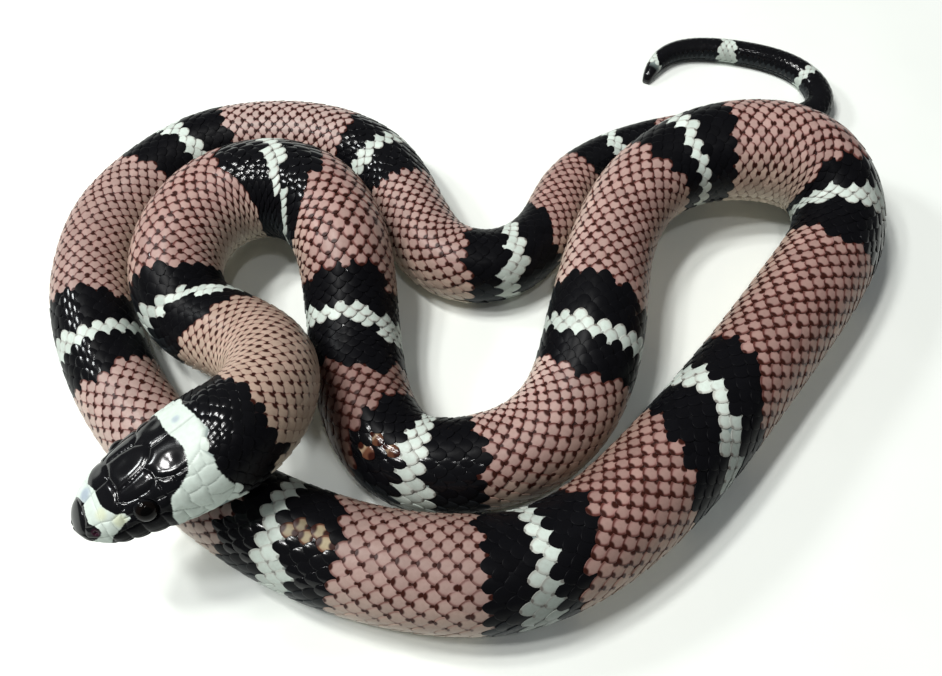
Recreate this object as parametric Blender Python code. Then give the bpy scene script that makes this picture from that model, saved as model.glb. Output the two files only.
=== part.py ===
"""A milk snake at rest, life size: a long body lying in loose coils, with the neck raised over the front coil
and the head resting beyond it. All sizes are millimetres until a point is written into a mesh."""

import math

import bmesh
import bpy
import numpy as np

MM = 0.001
GAP = 0.3

# The route runs under the belly from the snout to the tail tip: x and y on the floor, and the belly's height.
ROUTE = [
    # Head and neck, carried over the front coil
    (-52.5, -48.6, 14.2),
    (-44.6, -43.7, 14.9),
    (-36.6, -38.7, 15.6),
    (-33.0, -36.1, 15.4),
    (-30.4, -32.7, 14.8),
    (-29.0, -28.6, 13.6),
    (-29.3, -23.6, 11.4),
    (-32.3, -18.3, 8.2),
    # Inner loop, leaning on the outer coil
    (-43.3, -10.7, 3.6),
    (-46.8, -6.9, 4.3),
    (-48.3, -0.3, 4.9),
    (-46.0, 7.9, 4.9),
    (-40.9, 13.0, 4.6),
    (-32.9, 14.4, 5.0),
    (-25.2, 10.0, 6.0),
    (-20.8, 1.2, 6.0),
    (-19.6, -6.3, 2.5),
    # Middle bend
    (-18.6, -14.0, 0.0),
    (-16.7, -23.2, 0.0),
    (-13.1, -30.3, 0.0),
    (-7.9, -33.7, 0.0),
    (6.5, -31.9, 0.0),
    (16.7, -21.2, 0.0),
    # Right loop, raised where it lies over the tail
    (21.6, -1.7, 3.1),
    (28.0, 13.6, 5.3),
    (40.4, 21.8, 4.9),
    (56.4, 22.1, 3.2),
    (62.4, 17.0, 1.9),
    (63.2, 11.3, 0.3),
    (60.6, 4.6, 0.0),
    # Front coil
    (49.2, -11.1, 0.0),
    (41.0, -21.3, 0.0),
    (24.9, -39.2, 0.0),
    (7.7, -50.0, 0.0),
    (-10.6, -50.1, 0.0),
    (-26.7, -44.9, 0.0),
    (-42.3, -35.1, 0.0),
    # Outer coil
    (-55.7, -20.4, 0.0),
    (-63.1, -3.1, 0.0),
    (-63.4, 5.9, 0.0),
    (-61.6, 13.4, 0.0),
    (-51.4, 25.7, 0.0),
    (-44.0, 29.6, 0.0),
    (-34.2, 31.0, 0.0),
    (-25.0, 29.6, 0.0),
    (-17.7, 25.5, 0.0),
    (-13.0, 18.6, 0.0),
    (-6.9, 6.4, 0.0),
    (-2.2, 3.3, 0.0),
    (3.0, 2.9, 0.0),
    (7.9, 5.2, 0.0),
    (12.3, 9.9, 0.0),
    # Tail, behind the right loop and round to its tip
    (14.9, 15.6, 0.0),
    (18.0, 21.9, 0.0),
    (25.3, 28.2, 0.0),
    (32.5, 32.0, 0.0),
    (42.0, 35.3, 0.0),
    (52.6, 37.2, 0.0),
    (61.2, 38.6, 0.0),
    (66.7, 41.7, 0.0),
    (67.1, 46.4, 0.0),
    (64.1, 51.8, 0.0),
    (56.5, 56.0, 0.0),
    (45.6, 58.0, 0.0),
    (38.8, 56.8, 0.0),
    (35.5, 53.2, 0.0),
    (34.2, 50.2, 0.0),
]
ROUTE_STEP = 0.5
ROUTE_SMOOTHING = 6.0
POINTS_PER_SPAN = 24

# Radius of the body at distances from the snout
GIRTH = [
    (0, 8.0),
    (22, 7.95),
    (34, 7.2),
    (46, 7.1),
    (64, 7.5),
    (92, 8.4),
    (112, 7.9),
    (162, 7.5),
    (190, 8.2),
    (198, 7.9),
    (208, 7.3),
    (216, 7.2),
    (224, 7.5),
    (234, 8.3),
    (244, 8.85),
    (250, 8.9),
    (256, 8.45),
    (263, 7.85),
    (280, 8.2),
    (300, 8.3),
    (322, 8.55),
    (343, 8.4),
    (358, 8.65),
    (373, 8.3),
    (382, 8.1),
    (398, 7.3),
    (413, 7.05),
    (445, 6.9),
    (464, 7.0),
    (480, 6.9),
    (520, 6.65),
    (541, 6.4),
    (552, 5.65),
    (563, 5.2),
    (576, 4.6),
    (592, 3.75),
    (606, 3.05),
    (622, 2.7),
    (636, 2.4),
    (648, 2.25),
    (657, 2.05),
    (662, 1.65),
    (665, 1.15),
    (667, 0.6),
]
BELLY_DEPTH = 0.93  # the belly's flat lies this share of the radius below the body's middle

# Head: half width and half height before the snout's rounding, at distances from the snout
HEAD_LENGTH = 22.0
FIRST_RING = 0.04
RINGS_CROWD_TO_SNOUT = 1.6
HEAD_HALF_WIDTH = [(0, 4.8), (3, 5.15), (7, 6.25), (12.6, 7.6), (17, 8.3), (20, 8.35), (24, 8.0), (30, 7.5)]
HEAD_HALF_HEIGHT = [(0, 3.1), (3, 3.6), (7, 4.7), (12.6, 5.7), (17, 6.3), (20, 6.9), (24, 7.5), (30, 7.4)]
HEAD_EXPONENT = 2.3
SNOUT_ROUNDING = 5.5
SNOUT_DROP = 0.6
SNOUT_DROP_LENGTH = 10.0
HEAD_TO_BODY = (18.0, 28.0)
HEAD_ROLL = 14.0
ROLL_ENDS = (20.0, 46.0)

# The eye's middle, by distance from the snout and by degrees from the crown
EYE_ALONG = 9.8
EYE_FROM_CROWN = 66.0
EYE_RADIUS = 1.8
EYE_STANDS_OUT = 0.55

NOSTRIL_ALONG = 2.7
NOSTRIL_FROM_CROWN = 70.0
NOSTRIL_RADIUS = 0.42
NOSTRIL_SEGMENTS = 12
EYE_SEGMENTS = 24

# The line of the mouth, as heights beside the middle of the head
MOUTH_LINE = [(0, -1.5), (3, -1.9), (8, -2.35), (13, -2.5), (16.5, -1.9)]
MOUTH_CORNER = 16.5
MOUTH_START_SEARCH = (0.1, 3.0, 0.02)
MOUTH_STATIONS = 22
MOUTH_DEPTH = 0.45
MOUTH_EDGE = 0.6  # half height of the cutter at its outer edge, which lies outside the lips

# Lengths of the body
NECK_END = 58.0
VENT = 566.0
TORSO_LENGTHS = 13
TAIL_LENGTHS = 3
TIP_RING = 0.4
BODY_SIDES = 18
HEAD_SIDES = 30
HEAD_RINGS = 26
BODY_RING_STEP = 3.2
NECK_RING_STEP = 2.2
TAIL_RING_STEP = 2.6

PINK = (0.50, 0.27, 0.22, 1.0)
BLACK = (0.012, 0.012, 0.014, 1.0)
EYE_DARK = (0.01, 0.009, 0.009, 1.0)
SHARP_ANGLE = 40.0


def smooth_curve(points, per_span):
    """Natural cubic spline through the points, spaced by the square root of the chords."""
    points = np.asarray(points, float)
    count = len(points)
    chord = np.linalg.norm(np.diff(points, axis=0), axis=1)
    knot = np.concatenate([[0.0], np.cumsum(np.sqrt(chord))])
    span = np.diff(knot)
    slope = np.diff(points, axis=0) / span[:, None]
    matrix = np.eye(count)
    right = np.zeros_like(points)
    for i in range(1, count - 1):
        matrix[i, i - 1 : i + 2] = span[i - 1], 2 * (span[i - 1] + span[i]), span[i]
        right[i] = 6 * (slope[i] - slope[i - 1])
    bend = np.linalg.solve(matrix, right)
    spans = [np.linspace(knot[i], knot[i + 1], per_span, endpoint=False) for i in range(count - 1)]
    at = np.append(np.concatenate(spans), knot[-1])
    i = np.clip(np.searchsorted(knot, at, side="right") - 1, 0, count - 2)
    left = (knot[i + 1] - at)[:, None]
    gone = (at - knot[i])[:, None]
    h = span[i][:, None]
    curve = (bend[i] * left**3 + bend[i + 1] * gone**3) / (6 * h)
    curve += (points[i] / h - bend[i] * h / 6) * left + (points[i + 1] / h - bend[i + 1] * h / 6) * gone
    return curve, i, gone[:, 0] / h[:, 0]


def smoothed(rows, half):
    """Rows averaged over a bell-shaped window, with the ends kept where they are."""
    window = np.hanning(2 * half + 3)[1:-1]
    window /= window.sum()
    padded = np.vstack([2 * rows[0] - rows[half:0:-1], rows, 2 * rows[-1] - rows[-2 : -half - 2 : -1]])
    return np.stack([np.convolve(padded[:, i], window, "valid") for i in range(rows.shape[1])], axis=1)


class Snake:
    """The belly line of the whole animal, with its girth and its frame at any distance from the snout."""

    def __init__(self):
        route = np.array(ROUTE)
        plan, span, share = smooth_curve(route[:, :2], POINTS_PER_SPAN)
        lift = route[span, 2] + (route[np.minimum(span + 1, len(route) - 1), 2] - route[span, 2]) * share
        line = np.column_stack([plan, lift])
        along = self.distance(line)
        even = np.arange(0, along[-1], ROUTE_STEP)
        line = np.column_stack([np.interp(even, along, line[:, i]) for i in range(3)])
        self.line = smoothed(line, round(ROUTE_SMOOTHING / ROUTE_STEP))
        self.along = self.distance(self.line)
        self.length = self.along[-1]
        self.heading = np.gradient(self.line, self.along, axis=0)
        self.girth_curve = smooth_curve(GIRTH, POINTS_PER_SPAN)[0]

    @staticmethod
    def distance(line):
        return np.concatenate([[0.0], np.cumsum(np.linalg.norm(np.diff(line, axis=0), axis=1))])

    def girth(self, s):
        return float(np.interp(s, self.girth_curve[:, 0], self.girth_curve[:, 1]))

    def frame(self, s):
        """Middle of the body at s, and the directions tailward, to the animal's left and up its back."""
        belly = np.array([np.interp(s, self.along, self.line[:, i]) for i in range(3)])
        tailward = np.array([np.interp(s, self.along, self.heading[:, i]) for i in range(3)])
        tailward /= np.linalg.norm(tailward)
        left = np.cross(tailward, (0.0, 0.0, 1.0))
        left /= np.linalg.norm(left)
        up = np.cross(left, tailward)
        roll = math.radians(HEAD_ROLL) * (1 - ease(s, *ROLL_ENDS))
        left, up = left * math.cos(roll) + up * math.sin(roll), up * math.cos(roll) - left * math.sin(roll)
        middle = belly + np.array([0.0, 0.0, BELLY_DEPTH * self.girth(s)])
        return middle, tailward, left, up


def ease(value, start, end):
    share = min(max((value - start) / (end - start), 0.0), 1.0)
    return share * share * (3 - 2 * share)


def read(table, at):
    return float(np.interp(at, [row[0] for row in table], [row[1] for row in table]))


SNAKE = Snake()


def section_shape(s):
    """Half width, height of the crown, depth of the throat, and roundness of the section at s."""
    radius = SNAKE.girth(s)
    if s >= HEAD_TO_BODY[1]:
        return radius, radius, radius, 2.0
    rounding = math.sqrt(1 - (1 - min(s / SNOUT_ROUNDING, 1.0)) ** 2)
    drop = SNOUT_DROP * (1 - min(s / SNOUT_DROP_LENGTH, 1.0))
    wide = read(HEAD_HALF_WIDTH, s) * rounding
    tall = read(HEAD_HALF_HEIGHT, s) * rounding
    share = ease(s, *HEAD_TO_BODY)
    shape = np.array([wide, tall - drop, tall + drop, HEAD_EXPONENT])
    return tuple(shape * (1 - share) + np.array([radius, radius, radius, 2.0]) * share)


def section_point(s, from_crown):
    """Sideways and upward place of the surface at s, for an angle in degrees from the crown."""
    wide, crown, throat, exponent = section_shape(s)
    angle = math.radians(from_crown)
    side = math.copysign(abs(math.sin(angle)) ** (2 / exponent), math.sin(angle))
    rise = math.copysign(abs(math.cos(angle)) ** (2 / exponent), math.cos(angle))
    return wide * side, (crown if rise > 0 else throat) * rise


def on_surface(s, from_crown, outward=0.0):
    """The point on the surface, moved outward by a distance across the section."""
    middle, _, left, up = SNAKE.frame(s)
    x, z = section_point(s, from_crown)
    ahead = np.subtract(section_point(s, from_crown + 1), section_point(s, from_crown - 1))
    normal = np.array([-ahead[1], ahead[0]]) / np.linalg.norm(ahead)
    x, z = x + normal[0] * outward, z + normal[1] * outward
    return middle + left * x + up * z


def ring(s, sides):
    """Points round the section, with one flat side along the belly."""
    flat_edge = math.degrees(math.acos(-BELLY_DEPTH))
    return [on_surface(s, angle) for angle in np.linspace(-flat_edge, flat_edge, sides)]


def material(name, colour, roughness):
    made = bpy.data.materials.new(name)
    made.use_nodes = True
    shader = made.node_tree.nodes["Principled BSDF"]
    shader.inputs["Base Color"].default_value = colour
    shader.inputs["Roughness"].default_value = roughness
    return made


def new_object(name, mesh, collection, finish):
    obj = bpy.data.objects.new(name, mesh)
    obj.data.materials.append(finish)
    collection.objects.link(obj)
    mesh.shade_smooth()
    mesh.set_sharp_from_angle(angle=math.radians(SHARP_ANGLE))
    return obj


def loft(name, rings, collection, finish):
    """A closed body through rings of equal count."""
    shape = bmesh.new()
    loops = [[shape.verts.new(point * MM) for point in points] for points in rings]
    for first, second in zip(loops, loops[1:]):
        for i, vertex in enumerate(first):
            following = (i + 1) % len(first)
            shape.faces.new((vertex, first[following], second[following], second[i]))
    shape.faces.new(loops[0])
    shape.faces.new(loops[-1])
    bmesh.ops.recalc_face_normals(shape, faces=shape.faces)
    mesh = bpy.data.meshes.new(name)
    shape.to_mesh(mesh)
    shape.free()
    return new_object(name, mesh, collection, finish)


def ball(name, middle, radius, collection, finish, segments=EYE_SEGMENTS):
    shape = bmesh.new()
    bmesh.ops.create_uvsphere(shape, u_segments=segments, v_segments=segments // 2, radius=radius * MM)
    mesh = bpy.data.meshes.new(name)
    shape.to_mesh(mesh)
    shape.free()
    obj = new_object(name, mesh, collection, finish)
    obj.location = middle * MM
    return obj


def body_length(name, start, end, step, collection, finish):
    count = math.ceil((end - start) / step) + 1
    rings = [ring(s, BODY_SIDES) for s in np.linspace(start, end, count)]
    return loft(name, rings, collection, finish)


def side_at_height(s, height):
    """Half width of the head at a height beside its middle."""
    wide, crown, throat, exponent = section_shape(s)
    reach = crown if height > 0 else throat
    inside = 1 - min(abs(height) / reach, 1.0) ** exponent
    return wide * inside ** (1 / exponent)


def mouth_cutter(collection, finish):
    """A thin wedge that runs from one corner of the mouth round the snout to the other."""
    start = next(s for s in np.arange(*MOUTH_START_SEARCH) if section_shape(s)[2] > -read(MOUTH_LINE, s))
    stations = start + (MOUTH_CORNER - start) * np.linspace(0, 1, MOUTH_STATIONS) ** 2
    half = [(s, side_at_height(s, read(MOUTH_LINE, s))) for s in stations[1:]]
    outline = [(s, -x) for s, x in reversed(half)] + [(stations[0], 0.0)] + half
    rings = []
    for i, (s, x) in enumerate(outline):
        before = outline[max(i - 1, 0)]
        after = outline[min(i + 1, len(outline) - 1)]
        run = np.array([after[0] - before[0], after[1] - before[1]])
        out_s, out_x = np.array([-run[1], run[0]]) / np.linalg.norm(run)
        height = read(MOUTH_LINE, s)
        middle, tailward, left, up = SNAKE.frame(s)
        points = []
        for outward, rise in ((-MOUTH_DEPTH, 0), (MOUTH_DEPTH, -MOUTH_EDGE), (MOUTH_DEPTH, MOUTH_EDGE)):
            flat = middle + tailward * out_s * outward + left * (x + out_x * outward)
            points.append(flat + up * (height + rise))
        rings.append(points)
    return loft("mouth_cutter", rings, collection, finish)


def subtract(target, cutters):
    """Cuts each cutter away and keeps the result as the object's mesh."""
    for cutter in cutters:
        cutter.hide_render = True
        cutter.display_type = "WIRE"
        cut = target.modifiers.new(cutter.name, "BOOLEAN")
        cut.operation = "DIFFERENCE"
        cut.object = cutter


def head(collection, cutters, finish):
    share = np.linspace(0, 1, HEAD_RINGS)
    stations = FIRST_RING + (HEAD_LENGTH - FIRST_RING) * share**RINGS_CROWD_TO_SNOUT
    made = loft("head", [ring(s, HEAD_SIDES) for s in stations], collection, finish)
    tools = [mouth_cutter(cutters, finish)]
    for side, sign in (("left", 1), ("right", -1)):
        eye = on_surface(EYE_ALONG, sign * EYE_FROM_CROWN, EYE_STANDS_OUT - EYE_RADIUS)
        nostril = on_surface(NOSTRIL_ALONG, sign * NOSTRIL_FROM_CROWN)
        tools.append(ball(f"socket_{side}", eye, EYE_RADIUS + GAP, cutters, finish))
        tools.append(ball(f"nostril_{side}", nostril, NOSTRIL_RADIUS, cutters, finish, NOSTRIL_SEGMENTS))
    subtract(made, tools)


def eyes(collection, finish):
    for side, sign in (("left", 1), ("right", -1)):
        middle = on_surface(EYE_ALONG, sign * EYE_FROM_CROWN, EYE_STANDS_OUT - EYE_RADIUS)
        ball(f"eye_{side}", middle, EYE_RADIUS, collection, finish)


def lengths(name, start, end, count, step, collection, finish):
    """Numbered lengths of the body, each a gap short of the next."""
    edges = np.linspace(start, end, count + 1)
    for number, (first, last) in enumerate(zip(edges, edges[1:]), 1):
        body_length(f"{name}_{number}", first + GAP, last, step, collection, finish)


def main():
    for obj in list(bpy.data.objects):
        bpy.data.objects.remove(obj)
    snake = bpy.data.collections.new("milk_snake")
    cutters = bpy.data.collections.new("cutters")
    bpy.context.scene.collection.children.link(snake)
    bpy.context.scene.collection.children.link(cutters)
    pink = material("pink_scales", PINK, 0.45)
    black = material("black_scales", BLACK, 0.25)
    dark = material("eye", EYE_DARK, 0.05)
    head(snake, cutters, black)
    eyes(snake, dark)
    body_length("neck", HEAD_LENGTH + GAP, NECK_END, NECK_RING_STEP, snake, pink)
    lengths("torso", NECK_END, VENT, TORSO_LENGTHS, BODY_RING_STEP, snake, pink)
    lengths("tail", VENT, SNAKE.length - TIP_RING, TAIL_LENGTHS, TAIL_RING_STEP, snake, pink)


main()
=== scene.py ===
"""Looks of the milk snake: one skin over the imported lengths, a coat of scales, and the shields of the head."""

import math

import bpy
import numpy as np
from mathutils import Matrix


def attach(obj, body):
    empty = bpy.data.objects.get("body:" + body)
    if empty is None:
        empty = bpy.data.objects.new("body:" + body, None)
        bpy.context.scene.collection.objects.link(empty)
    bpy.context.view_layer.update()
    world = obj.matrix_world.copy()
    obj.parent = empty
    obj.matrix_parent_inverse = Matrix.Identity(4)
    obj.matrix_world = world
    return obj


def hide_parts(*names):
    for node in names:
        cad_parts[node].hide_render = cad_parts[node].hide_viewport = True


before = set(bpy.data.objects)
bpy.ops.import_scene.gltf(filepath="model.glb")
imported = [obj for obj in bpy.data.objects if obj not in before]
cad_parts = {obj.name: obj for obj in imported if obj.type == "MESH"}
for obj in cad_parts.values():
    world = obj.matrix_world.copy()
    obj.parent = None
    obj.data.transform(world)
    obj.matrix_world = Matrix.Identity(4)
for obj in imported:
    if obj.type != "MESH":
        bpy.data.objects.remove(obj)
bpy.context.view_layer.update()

MM = 0.001

# The route runs under the belly from the snout to the tail tip: x and y on the floor, and the belly's height.
ROUTE = [
    # Head and neck, carried over the front coil
    (-52.5, -48.6, 14.2),
    (-44.6, -43.7, 14.9),
    (-36.6, -38.7, 15.6),
    (-33.0, -36.1, 15.4),
    (-30.4, -32.7, 14.8),
    (-29.0, -28.6, 13.6),
    (-29.3, -23.6, 11.4),
    (-32.3, -18.3, 8.2),
    # Inner loop, leaning on the outer coil
    (-43.3, -10.7, 3.6),
    (-46.8, -6.9, 4.3),
    (-48.3, -0.3, 4.9),
    (-46.0, 7.9, 4.9),
    (-40.9, 13.0, 4.6),
    (-32.9, 14.4, 5.0),
    (-25.2, 10.0, 6.0),
    (-20.8, 1.2, 6.0),
    (-19.6, -6.3, 2.5),
    # Middle bend
    (-18.6, -14.0, 0.0),
    (-16.7, -23.2, 0.0),
    (-13.1, -30.3, 0.0),
    (-7.9, -33.7, 0.0),
    (6.5, -31.9, 0.0),
    (16.7, -21.2, 0.0),
    # Right loop, raised where it lies over the tail
    (21.6, -1.7, 3.1),
    (28.0, 13.6, 5.3),
    (40.4, 21.8, 4.9),
    (56.4, 22.1, 3.2),
    (62.4, 17.0, 1.9),
    (63.2, 11.3, 0.3),
    (60.6, 4.6, 0.0),
    # Front coil
    (49.2, -11.1, 0.0),
    (41.0, -21.3, 0.0),
    (24.9, -39.2, 0.0),
    (7.7, -50.0, 0.0),
    (-10.6, -50.1, 0.0),
    (-26.7, -44.9, 0.0),
    (-42.3, -35.1, 0.0),
    # Outer coil
    (-55.7, -20.4, 0.0),
    (-63.1, -3.1, 0.0),
    (-63.4, 5.9, 0.0),
    (-61.6, 13.4, 0.0),
    (-51.4, 25.7, 0.0),
    (-44.0, 29.6, 0.0),
    (-34.2, 31.0, 0.0),
    (-25.0, 29.6, 0.0),
    (-17.7, 25.5, 0.0),
    (-13.0, 18.6, 0.0),
    (-6.9, 6.4, 0.0),
    (-2.2, 3.3, 0.0),
    (3.0, 2.9, 0.0),
    (7.9, 5.2, 0.0),
    (12.3, 9.9, 0.0),
    # Tail, behind the right loop and round to its tip
    (14.9, 15.6, 0.0),
    (18.0, 21.9, 0.0),
    (25.3, 28.2, 0.0),
    (32.5, 32.0, 0.0),
    (42.0, 35.3, 0.0),
    (52.6, 37.2, 0.0),
    (61.2, 38.6, 0.0),
    (66.7, 41.7, 0.0),
    (67.1, 46.4, 0.0),
    (64.1, 51.8, 0.0),
    (56.5, 56.0, 0.0),
    (45.6, 58.0, 0.0),
    (38.8, 56.8, 0.0),
    (35.5, 53.2, 0.0),
    (34.2, 50.2, 0.0),
]
ROUTE_STEP = 0.5
ROUTE_SMOOTHING = 6.0
POINTS_PER_SPAN = 24

# Radius of the body at distances from the snout
GIRTH = [
    (0, 8.0),
    (22, 7.95),
    (34, 7.2),
    (46, 7.1),
    (64, 7.5),
    (92, 8.4),
    (112, 7.9),
    (162, 7.5),
    (190, 8.2),
    (198, 7.9),
    (208, 7.3),
    (216, 7.2),
    (224, 7.5),
    (234, 8.3),
    (244, 8.85),
    (250, 8.9),
    (256, 8.45),
    (263, 7.85),
    (280, 8.2),
    (300, 8.3),
    (322, 8.55),
    (343, 8.4),
    (358, 8.65),
    (373, 8.3),
    (382, 8.1),
    (398, 7.3),
    (413, 7.05),
    (445, 6.9),
    (464, 7.0),
    (480, 6.9),
    (520, 6.65),
    (541, 6.4),
    (552, 5.65),
    (563, 5.2),
    (576, 4.6),
    (592, 3.75),
    (606, 3.05),
    (622, 2.7),
    (636, 2.4),
    (648, 2.25),
    (657, 2.05),
    (662, 1.65),
    (665, 1.15),
    (667, 0.6),
]
BELLY_DEPTH = 0.93

# Head: half width and half height before the snout's rounding, at distances from the snout
HEAD_HALF_WIDTH = [(0, 4.8), (3, 5.15), (7, 6.25), (12.6, 7.6), (17, 8.3), (20, 8.35), (24, 8.0), (30, 7.5)]
HEAD_HALF_HEIGHT = [(0, 3.1), (3, 3.6), (7, 4.7), (12.6, 5.7), (17, 6.3), (20, 6.9), (24, 7.5), (30, 7.4)]
HEAD_EXPONENT = 2.3
SNOUT_ROUNDING = 5.5
SNOUT_DROP = 0.6
SNOUT_DROP_LENGTH = 10.0
HEAD_TO_BODY = (18.0, 28.0)
HEAD_ROLL = 14.0
ROLL_ENDS = (20.0, 46.0)
FLOOR_CLEARANCE = 0.02
BOX_MARGIN = 0.06

# Eyes and nostrils, by distance from the snout and by degrees from the crown
EYE_ALONG = 9.8
EYE_FROM_CROWN = 66.0
EYE_RADIUS = 1.8
EYE_STANDS_OUT = 0.55
NOSTRIL_ALONG = 2.7
NOSTRIL_FROM_CROWN = 70.0
NOSTRIL_RADIUS = 0.42

# The line of the mouth, as heights beside the middle of the head
MOUTH_LINE = [(0, -1.5), (3, -1.9), (8, -2.35), (13, -2.5), (16.5, -1.9)]
MOUTH_CORNER = 16.5

# Rows of scales over the back and sides, and how they thin out towards the tail's tip
ROWS_SIDE = 11
DORSAL_EDGE = 111.0
TAIL_ROWS = [(18, 11), (535, 11), (546, 10), (556, 9), (566, 8), (585, 7), (604, 6), (626, 5), (645, 4)]
SCALE_LENGTHS = [
    (8, 1.3),
    (20, 1.4),
    (32, 1.5),
    (44, 1.75),
    (60, 2.1),
    (80, 2.2),
    (110, 2.1),
    (140, 2.3),
    (170, 2.5),
    (210, 2.4),
    (247, 2.25),
    (264, 2.5),
    (287, 2.85),
    (332, 2.75),
    (365, 2.8),
    (407, 2.6),
    (430, 2.3),
    (453, 2.15),
    (530, 2.2),
    (564, 1.87),
    (600, 1.5),
    (640, 1.2),
    (667, 1.0),
]
COAT_DEPTH = 0.032
PIECE_SCALES = 1150


def smooth_curve(points, per_span):
    """Natural cubic spline through the points, spaced by the square root of the chords."""
    points = np.asarray(points, float)
    count = len(points)
    chord = np.linalg.norm(np.diff(points, axis=0), axis=1)
    knot = np.concatenate([[0.0], np.cumsum(np.sqrt(chord))])
    span = np.diff(knot)
    slope = np.diff(points, axis=0) / span[:, None]
    matrix = np.eye(count)
    right = np.zeros_like(points)
    for i in range(1, count - 1):
        matrix[i, i - 1 : i + 2] = span[i - 1], 2 * (span[i - 1] + span[i]), span[i]
        right[i] = 6 * (slope[i] - slope[i - 1])
    bend = np.linalg.solve(matrix, right)
    spans = [np.linspace(knot[i], knot[i + 1], per_span, endpoint=False) for i in range(count - 1)]
    at = np.append(np.concatenate(spans), knot[-1])
    i = np.clip(np.searchsorted(knot, at, side="right") - 1, 0, count - 2)
    left = (knot[i + 1] - at)[:, None]
    gone = (at - knot[i])[:, None]
    h = span[i][:, None]
    curve = (bend[i] * left**3 + bend[i + 1] * gone**3) / (6 * h)
    curve += (points[i] / h - bend[i] * h / 6) * left + (points[i + 1] / h - bend[i + 1] * h / 6) * gone
    return curve, i, gone[:, 0] / h[:, 0]


def smoothed(rows, half):
    """Rows averaged over a bell-shaped window, with the ends kept where they are."""
    window = np.hanning(2 * half + 3)[1:-1]
    window /= window.sum()
    padded = np.vstack([2 * rows[0] - rows[half:0:-1], rows, 2 * rows[-1] - rows[-2 : -half - 2 : -1]])
    return np.stack([np.convolve(padded[:, i], window, "valid") for i in range(rows.shape[1])], axis=1)


def ease(value, start, end):
    share = np.clip((value - start) / (end - start), 0.0, 1.0)
    return share * share * (3 - 2 * share)


def read(table, at):
    return np.interp(at, [row[0] for row in table], [row[1] for row in table])


class Snake:
    """The belly line of the whole animal, with its girth and its frame at distances from the snout."""

    def __init__(self):
        route = np.array(ROUTE)
        plan, span, share = smooth_curve(route[:, :2], POINTS_PER_SPAN)
        lift = route[span, 2] + (route[np.minimum(span + 1, len(route) - 1), 2] - route[span, 2]) * share
        line = np.column_stack([plan, lift])
        along = self.distance(line)
        even = np.arange(0, along[-1], ROUTE_STEP)
        line = np.column_stack([np.interp(even, along, line[:, i]) for i in range(3)])
        self.line = smoothed(line, round(ROUTE_SMOOTHING / ROUTE_STEP))
        self.along = self.distance(self.line)
        self.length = self.along[-1]
        self.heading = np.gradient(self.line, self.along, axis=0)
        self.girth_curve = smooth_curve(GIRTH, POINTS_PER_SPAN)[0]

    @staticmethod
    def distance(line):
        return np.concatenate([[0.0], np.cumsum(np.linalg.norm(np.diff(line, axis=0), axis=1))])

    def girth(self, s):
        return np.interp(s, self.girth_curve[:, 0], self.girth_curve[:, 1])

    def frames(self, s):
        """Middles of the body at s, and the directions tailward, to the animal's left and up its back."""
        belly = np.stack([np.interp(s, self.along, self.line[:, i]) for i in range(3)], axis=-1)
        tailward = np.stack([np.interp(s, self.along, self.heading[:, i]) for i in range(3)], axis=-1)
        tailward /= np.linalg.norm(tailward, axis=-1, keepdims=True)
        left = np.cross(tailward, (0.0, 0.0, 1.0))
        left /= np.linalg.norm(left, axis=-1, keepdims=True)
        up = np.cross(left, tailward)
        roll = (math.radians(HEAD_ROLL) * (1 - ease(s, *ROLL_ENDS)))[..., None]
        left, up = left * np.cos(roll) + up * np.sin(roll), up * np.cos(roll) - left * np.sin(roll)
        middle = belly.copy()
        middle[..., 2] += BELLY_DEPTH * self.girth(s)
        return middle, tailward, left, up


SNAKE = Snake()


def section_shape(s):
    """Half width, height of the crown, depth of the throat, and roundness of the section at s."""
    radius = SNAKE.girth(s)
    rounding = np.sqrt(1 - (1 - np.clip(s / SNOUT_ROUNDING, 0, 1)) ** 2)
    drop = SNOUT_DROP * (1 - np.clip(s / SNOUT_DROP_LENGTH, 0, 1))
    wide = read(HEAD_HALF_WIDTH, s) * rounding
    tall = read(HEAD_HALF_HEIGHT, s) * rounding
    share = ease(s, *HEAD_TO_BODY)
    return (
        wide * (1 - share) + radius * share,
        (tall - drop) * (1 - share) + radius * share,
        (tall + drop) * (1 - share) + radius * share,
        HEAD_EXPONENT * (1 - share) + 2.0 * share,
    )


def section_point(s, from_crown):
    """Sideways and upward places of the surface at s, for angles in degrees from the crown."""
    wide, crown, throat, exponent = section_shape(s)
    angle = np.radians(from_crown)
    sine = np.sin(angle)
    cosine = np.cos(angle)
    side = np.copysign(np.abs(sine) ** (2 / exponent), sine)
    rise = np.copysign(np.abs(cosine) ** (2 / exponent), cosine)
    return wide * side, np.where(rise > 0, crown, throat) * rise


def surface(s, from_crown, outward=0.0):
    """Points on the surface in millimetres, moved outward across the section, and never below the belly's flat."""
    s = np.asarray(s, float)
    from_crown = np.asarray(from_crown, float)
    middle, _, left, up = SNAKE.frames(s)
    x, z = section_point(s, from_crown)
    ahead = section_point(s, from_crown + 1.0)
    behind = section_point(s, from_crown - 1.0)
    run = np.stack([ahead[0] - behind[0], ahead[1] - behind[1]], axis=-1)
    run /= np.maximum(np.linalg.norm(run, axis=-1, keepdims=True), 1e-9)
    x = x - run[..., 1] * outward
    z = z + run[..., 0] * outward
    z = np.maximum(z, -BELLY_DEPTH * SNAKE.girth(s) + FLOOR_CLEARANCE - np.minimum(outward, 0.0))
    return middle + left * x[..., None] + up * z[..., None]


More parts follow.
